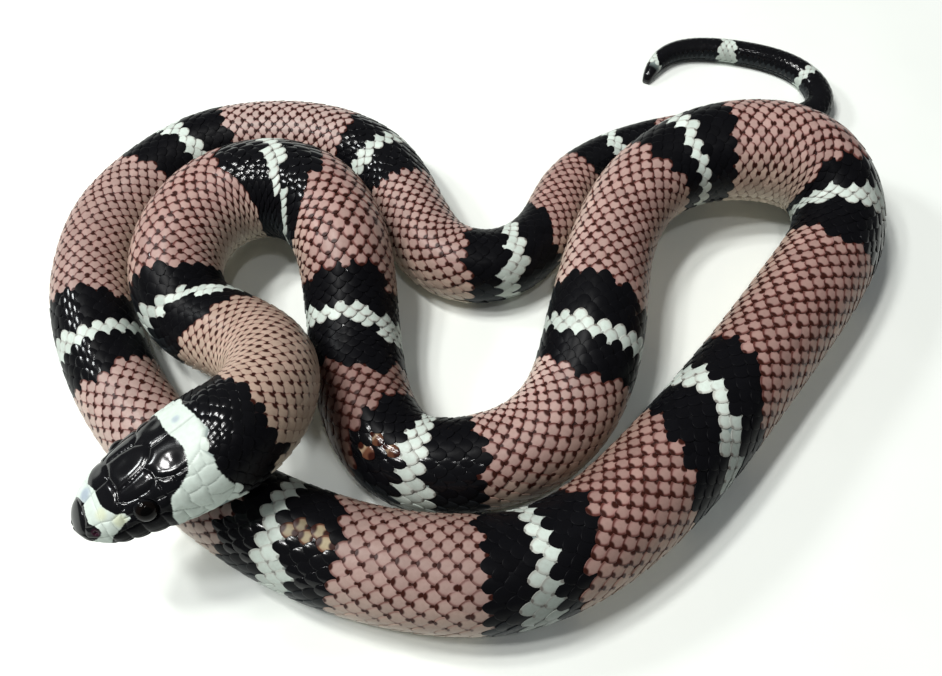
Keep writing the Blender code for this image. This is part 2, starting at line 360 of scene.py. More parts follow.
# Rings along the body. A row has degrees from the crown, then where the black starts, where the white starts and
# ends inside it, and where the black ends. A ring slants where its rows differ.
RINGS = [
    [
        (-90, 55.3, 60.3, 63.3, 66.0),
        (-60, 54.7, 59.9, 62.9, 66.5),
        (-30, 52.7, 59.3, 62.5, 66.5),
        (0, 50.3, 55.7, 61.0, 65.7),
        (20, 49.5, 53.0, 58.0, 64.8),
        (45, 49.0, 51.5, 55.0, 64.5),
    ],
    [
        (-40, 86.5, 91.9, 94.8, 99.3),
        (-20, 85.7, 92.3, 96.3, 102.7),
        (0, 85.7, 93.3, 97.5, 103.3),
        (20, 87.7, 95.3, 99.0, 104.3),
        (30, 88.7, 96.0, 100.3, 105.5),
        (45, 90.0, 99.7, 103.3, 107.3),
        (65, 92.0, 103.0, 106.7, 109.0),
    ],
    [
        (-60, 121.0, 125.7, 130.7, 135.3),
        (-45, 118.0, 124.8, 130.8, 137.0),
        (-30, 117.0, 124.0, 128.0, 137.3),
        (0, 116.1, 122.1, 126.3, 135.7),
        (30, 116.9, 122.7, 125.9, 134.0),
        (45, 117.9, 122.0, 125.7, 133.0),
    ],
    [
        (-45, 142.7, 149.3, 154.3, 160.7),
        (-20, 142.5, 150.3, 154.7, 161.2),
        (0, 143.0, 149.7, 154.5, 161.9),
        (30, 144.3, 150.7, 154.5, 162.0),
        (60, 146.3, 151.3, 155.3, 160.8),
    ],
    [
        (-60, 183.7, 189.0, 192.9, 198.7),
        (-30, 182.3, 188.1, 192.0, 199.0),
        (0, 181.5, 188.0, 191.8, 199.7),
        (30, 182.7, 189.0, 191.7, 197.9),
        (50, 184.0, 188.0, 191.7, 195.3),
    ],
    [
        (-45, 223.7, 229.0, 231.8, 236.8),
        (-30, 223.3, 228.7, 231.9, 237.3),
        (0, 222.3, 228.3, 230.8, 236.7),
        (30, 223.0, 227.9, 230.8, 236.3),
        (60, 224.7, 228.5, 230.7, 236.0),
    ],
    [
        (-25, 257.7, 261.3, 265.7, 273.3),
        (0, 256.7, 261.3, 265.3, 274.1),
        (20, 256.1, 261.8, 264.8, 273.6),
        (30, 255.9, 260.0, 265.3, 273.3),
        (50, 256.6, 259.7, 265.0, 272.7),
    ],
    [
        (-75, 310.0, 315.3, 321.3, 326.0),
        (-60, 309.7, 315.0, 319.3, 326.0),
        (-45, 308.7, 313.3, 318.0, 324.7),
        (-30, 306.0, 312.0, 317.0, 323.7),
        (-15, 303.7, 311.2, 314.5, 323.0),
        (0, 302.0, 309.7, 313.0, 322.0),
        (30, 301.0, 308.2, 313.0, 319.5),
        (50, 301.0, 307.0, 312.0, 318.3),
    ],
    [
        (-60, 343.3, 346.7, 351.3, 355.0),
        (-45, 342.7, 346.5, 350.3, 355.0),
        (-30, 341.3, 346.0, 349.3, 354.5),
        (0, 337.9, 345.3, 348.7, 354.7),
        (30, 337.5, 344.3, 349.0, 356.3),
        (60, 338.8, 344.5, 349.3, 355.7),
    ],
    [
        (-60, 374.0, 379.3, 385.0, 390.7),
        (-45, 374.1, 380.7, 385.7, 392.0),
        (-30, 374.7, 382.3, 386.3, 391.5),
        (0, 375.2, 384.3, 387.0, 390.6),
        (30, 376.3, 384.7, 386.7, 391.0),
        (60, 378.3, 385.0, 387.0, 391.5),
    ],
    [
        (-60, 423.0, 428.3, 433.0, 439.3),
        (-30, 422.3, 428.3, 432.3, 439.3),
        (0, 422.1, 427.9, 431.5, 439.0),
        (30, 422.7, 428.3, 431.7, 437.7),
        (50, 422.7, 428.0, 432.0, 437.0),
    ],
    [(-30, 465.2, 472.3, 476.0, 482.7), (0, 466.3, 473.0, 476.0, 482.7), (30, 467.5, 473.3, 477.0, 483.3)],
    [(-30, 504.3, 510.0, 513.0, 519.0), (0, 505.3, 510.7, 513.2, 519.5), (35, 505.5, 510.5, 514.3, 519.3)],
    [
        (-40, 539.0, 547.5, 551.0, 558.0),
        (-30, 538.5, 546.2, 550.2, 556.7),
        (0, 538.7, 545.5, 549.0, 556.1),
        (20, 538.8, 544.7, 548.7, 554.7),
        (45, 539.7, 543.7, 547.5, 552.7),
        (60, 540.0, 542.9, 546.0, 552.0),
    ],
    [(-30, 570.3, 576.7, 580.3, 588.0), (0, 570.0, 576.0, 579.7, 587.5)],
    [(0, 597.0, 602.0, 605.0, 630.0)],
    [(-60, 620.0, 628.3, 631.0, 646.0), (10, 620.0, 628.0, 630.9, 646.0)],
    [(-60, 640.0, 644.3, 648.9, 662.0), (20, 640.0, 645.0, 648.3, 662.0)],
    [(-30, 655.0, 662.0, 664.2, 690.0), (30, 655.0, 660.8, 663.4, 690.0)],
]

# A ring is at least one white scale wide, so its white is trimmed where it is wider
WHITE_TRIM = 0.45

# Single tan scales inside black rings, and stretches whose black scales are wet with light
FLECKS = [(146.4, 20), (148.0, 19), (149.6, 21), (147.4, 34), (376.4, -8), (377.9, -2), (379.4, -8), (380.9, -2), (382.4, -6)]
FLECK = (0.36, 0.30, 0.19)
FLECK_REACH = 1.0
SHINY = [
    (20, 28, -25, 45),
    (86, 109, -40, 30),
    (143, 161, 12, 50),
    (256, 274, -75, -20),
    (374, 392, -60, -15),
    (413, 440, -38, -8),
    (504, 520, -40, 60),
    (570, 588, -5, 60),
    (597, 662, -60, 60),
]

# Colours, linear
PINK = (0.39, 0.255, 0.225)
PINK_FLANK = (0.42, 0.315, 0.25)
CREAM = (0.60, 0.53, 0.43)
BLACK = (0.004, 0.004, 0.005)
BLACK_FLANK = (0.026, 0.031, 0.034)
WHITE = (0.60, 0.68, 0.62)
PAINTED_SHEEN_COLOUR = (0.50, 0.42, 0.38)
NECK_CREAM = (0.46, 0.37, 0.27)
TIP_BROWN = (0.034, 0.0085, 0.0055)
UNDER_PINK = (0.045, 0.020, 0.016)
UNDER_WHITE = (0.22, 0.27, 0.26)


# Painted light and shade on the pink, with some of its own tone, along the body: how light it is on its right flank, on
# the crown and on its left flank
PINK_TONE_AND_PAINTED_LIGHT = [
    (28, 1.15, 0.98, 0.85),
    (48, 1.15, 0.98, 0.9),
    (75, 0.95, 1.0, 1.15),
    (108, 0.95, 1.05, 1.15),
    (118, 0.8, 1.0, 0.9),
    (136, 0.5, 0.65, 0.15),
    (146, 0.6, 0.7, 0.3),
    (160, 1.25, 0.95, 0.8),
    (180, 1.35, 0.9, 0.8),
    (215, 1.15, 0.92, 0.72),
    (240, 0.9, 1.1, 1.05),
    (252, 0.85, 1.1, 1.05),
    (280, 0.7, 0.82, 1.05),
    (325, 0.68, 0.83, 0.7),
    (345, 0.75, 0.8, 0.65),
    (365, 0.85, 0.8, 0.8),
    (405, 1.2, 1.0, 0.78),
    (450, 0.92, 0.85, 1.0),
    (485, 1.15, 1.05, 1.1),
    (505, 1.1, 1.05, 1.15),
    (530, 0.9, 0.92, 0.95),
    (563, 0.95, 0.9, 0.95),
]

# How much painted sheen makes the pink greyer and paler than its own hue, and how creamy the pink is, along the body
PAINTED_SHEEN = [(60, 0), (160, 0.1), (175, 0.2), (210, 0.12), (240, 0), (335, 0), (356, 0.25), (395, 0.35), (425, 0.35), (450, 0.15)]
PAINTED_SHEEN += [(475, 0.3), (490, 0.5), (505, 0.45), (535, 0.2), (560, 0)]
CREAMINESS = [(28, 0.5), (50, 0.4), (66, 0)]

# How much narrower the dark rear edges of the scales are along the body
LATTICE = [(30, 0.2), (50, 0.14), (66, 0.02), (100, 0), (250, 0.02), (290, 0), (338, 0.0), (358, 0.01), (385, 0.06), (440, 0.06)]
LATTICE += [(485, 0.1), (520, 0.02)]

# How strong the dark spots of the scales are along the body
SPOTS = [(340, 1.0), (356, 0.8), (374, 0.8), (392, 0.9), (465, 0.85), (485, 1.0)]


def ring_classes(s, from_crown):
    """Shares of black and of white at places on the body, each 0 or 1."""
    black = np.zeros(np.shape(s))
    white = np.zeros(np.shape(s))
    for rows in RINGS:
        angles = [row[0] for row in rows]
        starts, whites, ends, last = (np.interp(from_crown, angles, [row[i] for row in rows]) for i in range(1, 5))
        black = np.maximum(black, ((s >= starts) & (s < last)).astype(float))
        half = np.maximum(0.5 * (ends - whites) - WHITE_TRIM, 0.5 * read(SCALE_LENGTHS, s))
        white = np.maximum(white, (np.abs(s - 0.5 * (whites + ends)) <= half).astype(float))
    return black * (1 - white), white


def mix(first, second, share):
    share = np.asarray(share)[..., None]
    return np.asarray(first) * (1 - share) + np.asarray(second) * share


# The head's markings, as distances from the snout by degrees from the crown
SNOUT_BLACK = [
    (-110, 1.6),
    (-90, 2.3),
    (-70, 2.8),
    (-50, 1.5),
    (-30, 2.3),
    (0, 3.0),
    (20, 2.7),
    (40, 2.6),
    (50, 3.0),
    (60, 3.4),
    (72, 3.4),
    (82, 3.0),
    (90, 2.5),
    (100, 1.9),
    (112, 1.5),
]
SNOUT_WHITE = [
    (-112, 3.5),
    (-90, 4.3),
    (-80, 5.3),
    (-72, 6.2),
    (-64, 7.4),
    (-54, 7.2),
    (-50, 6.1),
    (-40, 5.6),
    (-20, 4.4),
    (0, 5.1),
    (20, 5.1),
    (30, 5.3),
    (40, 5.8),
    (50, 6.3),
    (54, 7.3),
    (66, 7.6),
    (72, 6.3),
    (80, 5.4),
    (90, 4.3),
    (100, 3.9),
    (112, 3.5),
]
CAP_REAR = [
    (-112, 12.0),
    (-85, 12.4),
    (-70, 12.9),
    (-60, 14.0),
    (-52, 15.4),
    (-45, 15.9),
    (-30, 16.3),
    (-10, 16.4),
    (0, 16.7),
    (8, 17.2),
    (20, 17.5),
    (35, 17.1),
    (45, 16.6),
    (50, 15.8),
    (56, 14.9),
    (62, 13.4),
    (70, 12.9),
    (82, 12.5),
    (90, 12.1),
    (112, 12.0),
]
COLLAR_REAR = [
    (-110, 20.3),
    (-60, 19.2),
    (-40, 19.1),
    (-20, 19.8),
    (0, 20.3),
    (20, 20.8),
    (40, 19.8),
    (60, 19.4),
    (80, 19.8),
    (95, 20.4),
    (120, 20.6),
]
NECK_REAR = [(-100, 29.5), (-60, 29.3), (-40, 28.3), (-20, 27.2), (0, 26.6), (20, 26.9), (40, 26.1), (70, 25.6), (100, 25.9), (108, 24.6), (180, 24.0)]
LIP_BLACK_BELOW = 3.0

# Bluish and yellowish patches in the white of the head: distance from the snout, degrees from the crown, reach
PATCHES = [
    (3.6, -8, 1.5, (0.26, 0.32, 0.42)),
    (18.2, -8, 0.9, (0.36, 0.43, 0.50)),
    (4.6, 36, 1.3, (0.62, 0.66, 0.46)),
    (6.3, 62, 1.4, (0.58, 0.62, 0.42)),
]


def head_classes(s, from_crown):
    """Shares of black and white on the head and neck."""
    off = np.abs(from_crown)
    tip = s < read(SNOUT_BLACK, from_crown)
    cap = (s > read(SNOUT_WHITE, from_crown)) & (s < read(CAP_REAR, from_crown))
    neck = (s > read(COLLAR_REAR, from_crown)) & (s < read(NECK_REAR, from_crown))
    _, height = section_point(s, from_crown)
    throat = (height < read(MOUTH_LINE, s) - LIP_BLACK_BELOW * ease(s, 3.0, 9.0) - 0.5) & (off > 100)
    black = ((tip | cap) & ~throat) | neck
    white = (s < read(COLLAR_REAR, from_crown)) & ~black
    return black.astype(float), white.astype(float)


def markings(s, from_crown):
    """Shares of black and white anywhere on the animal."""
    head_black, head_white = head_classes(s, from_crown)
    body_black, body_white = ring_classes(s, from_crown)
    near = s < 32
    return np.where(near, head_black, body_black), np.where(near, head_white, body_white)


def base_colour(s, from_crown, black, white):
    """Colour of the coat: pink on the back, paler down the flanks and cream on the belly, with the rings, whose white
    gets painted shade down the flanks and on the front coil's right flank.
    """
    off = np.abs(from_crown)
    pink = mix(PINK, PINK_FLANK, ease(off, 30, 80))
    pink = mix(pink, CREAM, ease(off, 78, 108))
    dark = mix(BLACK, BLACK_FLANK, ease(off, 60, 100) * (s > 32))
    colour = pink * (1 - black - white)[..., None] + dark * black[..., None]
    # Painted shade on the white: darker down the flanks and on the right flank of the front coil
    front = ease(s, 246, 256) * (1 - ease(s, 350, 368))
    shaded = 1 - (0.2 * ease(off, 20, 65) + 0.42 * front * ease(-from_crown, 0, 45)) * (s > 32)
    return colour + np.asarray(WHITE) * (white * shaded)[..., None]


def painted_light_and_tint(colour, s, from_crown, share):
    """The pink scales given painted light and shade (lighter or darker, and redder where darker), painted sheen (greyer
    and paler) and a creamier tint, by their place on the body.
    """
    left = ease(from_crown, 8, 55)
    right = ease(-from_crown, 8, 55)
    sides = [np.interp(s, [row[0] for row in PINK_TONE_AND_PAINTED_LIGHT], [row[i] for row in PINK_TONE_AND_PAINTED_LIGHT]) for i in (1, 2, 3)]
    tone_and_painted_light = sides[1] + (sides[0] - sides[1]) * right + (sides[2] - sides[1]) * left
    # Painted sheen: the pink is mixed towards a pale grey, less on its left flank
    pale = mix(colour, PAINTED_SHEEN_COLOUR, read(PAINTED_SHEEN, s) * (1 - 0.6 * left))
    pale = mix(pale, NECK_CREAM, read(CREAMINESS, s))
    # Painted light and shade: the pink is made lighter or darker, and redder where it is darker
    pale = pale * tone_and_painted_light[..., None] ** np.array([1.0, 1.15, 1.2])
    return colour + (pale - colour) * share[..., None]


def new_mesh(name, points, quads, triangles=(), attributes=()):
    """A mesh object from points in millimetres, with smooth shading and named point attributes."""
    mesh = bpy.data.meshes.new(name)
    quads = np.asarray(quads, np.int32).reshape(-1, 4)
    triangles = np.asarray(triangles, np.int32).reshape(-1, 3)
    corners = np.concatenate([quads.ravel(), triangles.ravel()])
    starts = np.concatenate([np.arange(len(quads)) * 4, len(quads) * 4 + np.arange(len(triangles)) * 3])
    mesh.vertices.add(len(points))
    mesh.vertices.foreach_set("co", (np.asarray(points) * MM).astype(np.float32).ravel())
    mesh.loops.add(len(corners))
    mesh.loops.foreach_set("vertex_index", corners.astype(np.int32))
    mesh.polygons.add(len(starts))
    mesh.polygons.foreach_set("loop_start", starts.astype(np.int32))
    mesh.update(calc_edges=True)
    mesh.shade_smooth()
    for title, values in attributes:
        values = np.asarray(values, np.float32)
        if values.shape[-1] == 4:
            mesh.attributes.new(title, "FLOAT_COLOR", "POINT").data.foreach_set("color", values.ravel())
        else:
            mesh.attributes.new(title, "FLOAT_VECTOR", "POINT").data.foreach_set("vector", values.ravel())
    obj = bpy.data.objects.new(name, mesh)
    bpy.context.scene.collection.objects.link(obj)
    return obj


def set_uv(mesh, per_corner):
    layer = mesh.uv_layers.new(name="OFBake")
    layer.data.foreach_set("uv", np.asarray(per_corner, np.float32).ravel())


def with_alpha(colour):
    return np.concatenate([colour, np.ones(colour.shape[:-1] + (1,))], axis=-1)


# The unwrap of the skin: the head fills the upper half, and the body lies in strips in the lower half
STRIPS = 12
HEAD_END = 25.0


def unwrap(s, from_crown, strip):
    share = s / SNAKE.length * STRIPS - strip
    height = (strip + (from_crown + 180) / 360) / STRIPS * 0.5
    return np.stack(np.broadcast_arrays(share, height), axis=-1)


def node_material(name, roughness):
    made = bpy.data.materials.new(name)
    made.use_nodes = True
    shader = made.node_tree.nodes["Principled BSDF"]
    shader.inputs["Roughness"].default_value = roughness
    return made, made.node_tree, shader


def add(tree, kind, **settings):
    node = tree.nodes.new(kind)
    for name, value in settings.items():
        setattr(node, name, value)
    return node


def math_node(tree, operation, first, second=None, clamp=False):
    node = add(tree, "ShaderNodeMath", operation=operation, use_clamp=clamp)
    for socket, value in zip(node.inputs, (first, second)):
        if value is None:
            continue
        if isinstance(value, (int, float)):
            socket.default_value = value
        else:
            tree.links.new(value, socket)
    return node.outputs[0]


def ramp_node(tree, value, low, high, smooth=True):
    """A share that climbs from 0 at low to 1 at high."""
    node = add(tree, "ShaderNodeMapRange", interpolation_type="SMOOTHSTEP" if smooth else "LINEAR")
    tree.links.new(value, node.inputs["Value"])
    node.inputs["From Min"].default_value = low
    node.inputs["From Max"].default_value = high
    return node.outputs[0]


def mix_node(tree, share, first, second, blend="MIX"):
    node = add(tree, "ShaderNodeMix", data_type="RGBA", blend_type=blend)
    for socket, value in ((node.inputs[0], share), (node.inputs[6], first), (node.inputs[7], second)):
        if isinstance(value, (int, float)):
            socket.default_value = value
        elif isinstance(value, tuple):
            socket.default_value = (*value, 1.0)
        else:
            tree.links.new(value, socket)
    return node.outputs[2]


def noise_node(tree, scale, detail=3.0):
    place = add(tree, "ShaderNodeTexCoord")
    noise = add(tree, "ShaderNodeTexNoise")
    noise.inputs["Scale"].default_value = scale
    noise.inputs["Detail"].default_value = detail
    tree.links.new(place.outputs["Object"], noise.inputs["Vector"])
    return noise.outputs["Fac"]


def bump_node(tree, shader, height, strength, distance):
    bump = add(tree, "ShaderNodeBump")
    bump.inputs["Strength"].default_value = strength
    bump.inputs["Distance"].default_value = distance
    tree.links.new(height, bump.inputs["Height"])
    tree.links.new(bump.outputs["Normal"], shader.inputs["Normal"])


def gloss(tree, shader, share, smooth, rough):
    """Roughness from the smooth value where the share is 0 to the rough value where it is 1."""
    node = add(tree, "ShaderNodeMapRange")
    tree.links.new(share, node.inputs["Value"])
    node.inputs["To Min"].default_value = smooth
    node.inputs["To Max"].default_value = rough
    tree.links.new(node.outputs[0], shader.inputs["Roughness"])


def spot_node(tree, along, across, place, length, width, size):
    """A soft oval spot on the middle line of a scale."""
    ahead = math_node(tree, "DIVIDE", math_node(tree, "SUBTRACT", place, along), length)
    aside = math_node(tree, "DIVIDE", across, width)
    square = math_node(tree, "ADD", math_node(tree, "MULTIPLY", ahead, ahead), math_node(tree, "MULTIPLY", aside, aside))
    away = math_node(tree, "DIVIDE", math_node(tree, "SQRT", square), size)
    return math_node(tree, "SUBTRACT", 1.0, ramp_node(tree, away, 0.62, 1.0))


def scale_material():
    made, tree, shader = node_material("scales", 0.4)
    shader.inputs["IOR"].default_value = 1.22
    tint = add(tree, "ShaderNodeAttribute", attribute_name="tint")
    at = add(tree, "ShaderNodeAttribute", attribute_name="at")
    split = add(tree, "ShaderNodeSeparateXYZ")
    tree.links.new(at.outputs["Vector"], split.inputs[0])
    along, across, rim = split.outputs
    spot = tint.outputs["Alpha"]
    # Dark spots on the rear tip and where the next tip begins
    size = math_node(tree, "ADD", math_node(tree, "MULTIPLY", spot, 0.6), 0.4)
    tip = spot_node(tree, along, across, 1.0, 0.66, 0.68, size)
    root = spot_node(tree, along, across, -0.86, 0.46, 0.52, size)
    strength = math_node(tree, "MULTIPLY", spot, 1.8, clamp=True)
    tip = math_node(tree, "MULTIPLY", math_node(tree, "MAXIMUM", tip, root), strength, clamp=True)
    # Redder away from the middle and dark along the free rear edges, with fine mottling
    blush = math_node(tree, "MULTIPLY", ramp_node(tree, rim, 0.35, 0.85), spot, clamp=True)
    blushed = mix_node(tree, math_node(tree, "MULTIPLY", blush, 0.7), tint.outputs["Color"], (0.9, 0.72, 0.76), "MULTIPLY")
    edge = math_node(tree, "MULTIPLY", ramp_node(tree, rim, 0.6, 0.88), ramp_node(tree, along, -0.4, 0.1))
    edge = math_node(tree, "MULTIPLY", edge, spot, clamp=True)
    shaded = mix_node(tree, math_node(tree, "MULTIPLY", edge, 0.92), blushed, (0.27, 0.12, 0.095), "MULTIPLY")
    mottle = ramp_node(tree, noise_node(tree, 1800.0), 0.3, 0.75)
    mottled = mix_node(tree, math_node(tree, "MULTIPLY", mottle, 0.22), shaded, (0.62, 0.55, 0.52), "MULTIPLY")
    colour = mix_node(tree, tip, mottled, TIP_BROWN)
    tree.links.new(colour, shader.inputs["Base Color"])
    grain = math_node(tree, "MULTIPLY", noise_node(tree, 2600.0), 0.3)
    wet = ramp_node(tree, rim, 1.3, 1.6)
    dry = math_node(tree, "SUBTRACT", math_node(tree, "ADD", grain, 0.85), wet, clamp=True)
    gloss(tree, shader, dry, 0.13, 0.34)
    # Dry black scales are duller than pink ones, and wet ones shine most
    bright = add(tree, "ShaderNodeRGBToBW")
    tree.links.new(tint.outputs["Color"], bright.inputs[0])
    sheen = math_node(tree, "MULTIPLY", ramp_node(tree, bright.outputs[0], 0.01, 0.1), 0.3)
    sheen = math_node(tree, "MAXIMUM", math_node(tree, "ADD", sheen, 0.2), math_node(tree, "MULTIPLY", wet, 0.9))
    tree.links.new(sheen, shader.inputs["Specular IOR Level"])
    bump_node(tree, shader, noise_node(tree, 5200.0, 2.0), 0.12, 0.00004)
    return made


def skin_material():
    made, tree, shader = node_material("skin", 0.4)
    shader.inputs["IOR"].default_value = 1.25
    tint = add(tree, "ShaderNodeAttribute", attribute_name="tint")
    mottle = ramp_node(tree, noise_node(tree, 1500.0), 0.3, 0.75)
    colour = mix_node(tree, math_node(tree, "MULTIPLY", mottle, 0.18), tint.outputs["Color"], (0.6, 0.55, 0.52), "MULTIPLY")
    tree.links.new(colour, shader.inputs["Base Color"])
    bright = add(tree, "ShaderNodeRGBToBW")
    tree.links.new(colour, bright.inputs[0])
    gloss(tree, shader, ramp_node(tree, bright.outputs[0], 0.02, 0.3), 0.14, 0.42)
    tree.links.new(tint.outputs["Alpha"], shader.inputs["Specular IOR Level"])
    bump_node(tree, shader, noise_node(tree, 3000.0, 1.5), 0.03, 0.00004)
    return made


# Seams between the shields of the head: distance from the snout and degrees from the crown, for one side
MIDLINE_SEAMS = [[(2.4, 0), (7.4, 0)], [(13.8, 0), (20.5, 0)], [(1.6, 180), (9.4, 180)]]
SIDE_SEAMS = [
    # Snout: rostral, internasals, nasals, prefrontals
    [(2.4, 0), (2.2, 25), (1.6, 50), (1.2, 75), (1.3, 95), (1.6, 112)],
    [(4.4, 0), (4.3, 25), (4.0, 49)],
    [(1.7, 47), (2.6, 51), (4.0, 49)],
    [(4.0, 49), (4.1, 66), (3.9, 89)],
    [(7.4, 0), (7.7, 12), (7.7, 22), (7.3, 34), (6.8, 47)],
    [(4.0, 49), (5.4, 55), (6.8, 51), (6.8, 47)],
    [(5.2, 56), (5.3, 70), (5.5, 86)],
    [(6.8, 51), (6.7, 62), (6.6, 74), (6.3, 85)],
    [(6.7, 62), (8.0, 63)],
    [(6.8, 47), (7.6, 48)],
    # Crown: frontal, supraoculars, parietals
    [(7.7, 22), (9.7, 19.5), (12.0, 14), (13.2, 7), (13.8, 0)],
    [(12.0, 14), (12.7, 22), (12.8, 30)],
    [(7.3, 34), (8.2, 41), (9.6, 43), (11.4, 41), (12.8, 33), (12.8, 30)],
    [(12.8, 30), (13.5, 36), (15.0, 40), (17.3, 38), (18.8, 32), (20.4, 17), (20.5, 0)],
    # Behind the eye: postoculars and temporals
    [(12.8, 33), (12.9, 46), (13.0, 58), (12.8, 72), (12.3, 84)],
    [(11.6, 57), (13.0, 58)],
    [(13.0, 58), (14.2, 58), (15.0, 54)],
    [(15.0, 40), (14.8, 50), (15.1, 60), (15.3, 70), (15.0, 82), (15.6, 94)],
    [(15.3, 70), (16.2, 70), (17.3, 67)],
    [(15.0, 50), (16.2, 49), (17.3, 51)],
    [(17.3, 38), (17.4, 51), (17.4, 60), (17.3, 67)],
    [(17.3, 51), (18.6, 49), (19.6, 53)],
    [(17.3, 67), (17.6, 71), (18.6, 71), (19.6, 68)],
    [(17.6, 71), (17.4, 82), (17.2, 96)],
    [(17.4, 84), (18.6, 90), (20.0, 90)],
    [(18.8, 32), (18.7, 40), (18.6, 49)],
    # Lips, above and below the mouth
    [(1.4, 92), (3.4, 89), (5.5, 86), (8.0, 82), (9.8, 81), (11.6, 81), (12.3, 84), (13.2, 86), (15.6, 94), (17.2, 97)],
    [(1.9, 91), (2.0, 112)],
    [(3.9, 89), (4.0, 114)],
    [(6.0, 86), (6.1, 116)],
    [(8.2, 83), (8.3, 117)],
    [(10.9, 82), (11.0, 117)],
    [(13.6, 87), (13.7, 116)],
    [(15.9, 95), (16.1, 110)],
    [(1.2, 150), (3.0, 140), (8.0, 135), (14.0, 134), (17.0, 130)],
    [(2.2, 114), (2.3, 144)],
    [(4.2, 116), (4.3, 139)],
    [(6.2, 118), (6.3, 137)],
    [(8.4, 119), (8.5, 135)],
    [(10.8, 119), (10.9, 135)],
    [(13.2, 118), (13.3, 134)],
    [(15.4, 116), (15.5, 133)],
    # Chin
    [(5.4, 180), (5.6, 140)],
    [(9.4, 180), (9.0, 160), (8.6, 137)],
]
SEAM_STEP = 0.04
SEAM_DEPTH = 0.05
SEAM_WIDTH = 0.06
SHIELD_ROUNDING = [(0, 0.14), (5, 0.19), (7.5, 0.25), (15, 0.25), (17, 0.1)]
SHIELD_REACH = 0.38
# Shallow hollows in the shields: distance from the snout, degrees from the crown, depth and reach
HOLLOWS = [(10.0, 0, 0.12, 1.2), (15.5, 24, 0.2, 1.3), (15.5, -22, 0.18, 1.3), (6.2, 22, 0.06, 0.9), (6.2, -22, 0.06, 0.9)]
HEAD_RINGS = 230
HEAD_SIDES = 300
BODY_SIDES = 60
BODY_RING_STEP = 1.2
SOCKET_RADIUS = 1.75
SOCKET_DEPTH = 1.1


def head_seams():
    """Points along every seam of the head."""
    points = []
    for mirror, seams in ((0, MIDLINE_SEAMS), (1, SIDE_SEAMS), (-1, SIDE_SEAMS)):
        for rows in seams:
            for first, second in zip(rows, rows[1:]):
                ends = surface(np.array([first[0], second[0]]), np.array([first[1], second[1]]))
                count = int(np.linalg.norm(ends[1] - ends[0]) / SEAM_STEP) + 2
                share = np.linspace(0, 1, count)
                s = first[0] + (second[0] - first[0]) * share
                angle = first[1] + (second[1] - first[1]) * share
                points.append(surface(s, angle * (mirror if mirror else 1)))
    return np.concatenate(points)


def nearest(points, targets, cell=0.5, reach=1.0):
    """Distance from each point to the nearest target, up to a reach."""
    from mathutils import kdtree

    tree = kdtree.KDTree(len(targets))
    for i, target in enumerate(targets):
        tree.insert(target, i)
    tree.balance()
    return np.array([min(tree.find(point)[2], reach) for point in points])


def coat_depth(s):
    """How far the coat stands above the skin."""
    return COAT_DEPTH * SNAKE.girth(s) * (1 - ease(s, SNAKE.length - 5, SNAKE.length - 1.5))


def coat_share(s, from_crown):
    """1 where scales cover the skin, 0 on the shields of the head."""
    off = np.abs(from_crown)
    start = np.interp(off, [0, 17, 32, 50, 70, 90, 104, 118, 135, 180], [20.4, 20.4, 18.9, 19.6, 19.7, 20.0, 18.4, 15.0, 9.6, 9.8])
    return ease(s, start - 0.1, start + 0.5)


def normals_of(points):
    """Outward directions on a closed tube of points, rings by sides."""
    along = np.gradient(points, axis=0)
    around = np.roll(points, -1, axis=1) - np.roll(points, 1, axis=1)
    normal = np.cross(around, along)
    length = np.linalg.norm(normal, axis=-1, keepdims=True)
    return normal / np.maximum(length, 1e-9)


def head_relief(s, from_crown, points):
    """Height of the skin over the plain head, and how near each place is to a seam."""
    flat = points.reshape(-1, 3)
    seam = nearest(flat, head_seams()).reshape(s.shape)
    covered = coat_share(s, from_crown)
    height = -SEAM_DEPTH * np.exp(-((seam / SEAM_WIDTH) ** 2)) - read(SHIELD_ROUNDING, s) * np.exp(-seam / SHIELD_REACH)
    for hollow_s, hollow_angle, depth, reach in HOLLOWS:
        away = np.linalg.norm(points - surface(np.array(hollow_s), np.array(hollow_angle)), axis=-1)
        height -= depth * np.exp(-((away / reach) ** 2))
    height = height * (1 - covered)
    # The line of the mouth between its lips, with a mask for the painted shade in its slit
    _, z = section_point(s, from_crown)
    beside = z - read(MOUTH_LINE, s)
    fading = 1 - ease(s, MOUTH_CORNER - 1.5, MOUTH_CORNER)
    height += fading * (0.07 * np.exp(-(((np.abs(beside) - 0.42) / 0.3) ** 2)) - 0.34 * np.exp(-((beside / 0.1) ** 2)))
    mouth_shade = fading * np.exp(-((beside / 0.13) ** 2))
    nostril = np.full(s.shape, 9.0)
    for sign in (1, -1):
        hole = surface(np.array(NOSTRIL_ALONG), np.array(NOSTRIL_FROM_CROWN * sign))
        away = np.linalg.norm(points - hole, axis=-1)
        height -= 0.4 * np.exp(-((away / 0.3) ** 4))
        nostril = np.minimum(nostril, away)
        eye = surface(np.array(EYE_ALONG), np.array(EYE_FROM_CROWN * sign))
        away = np.linalg.norm(points - eye, axis=-1)
        height -= SOCKET_DEPTH * (1 - ease(away, SOCKET_RADIUS - 0.4, SOCKET_RADIUS))
        height += 0.02 * np.exp(-(((away - SOCKET_RADIUS - 0.25) / 0.2) ** 2))
    height *= ease(s, 0.1, 0.7)
    return height, seam, mouth_shade, nostril


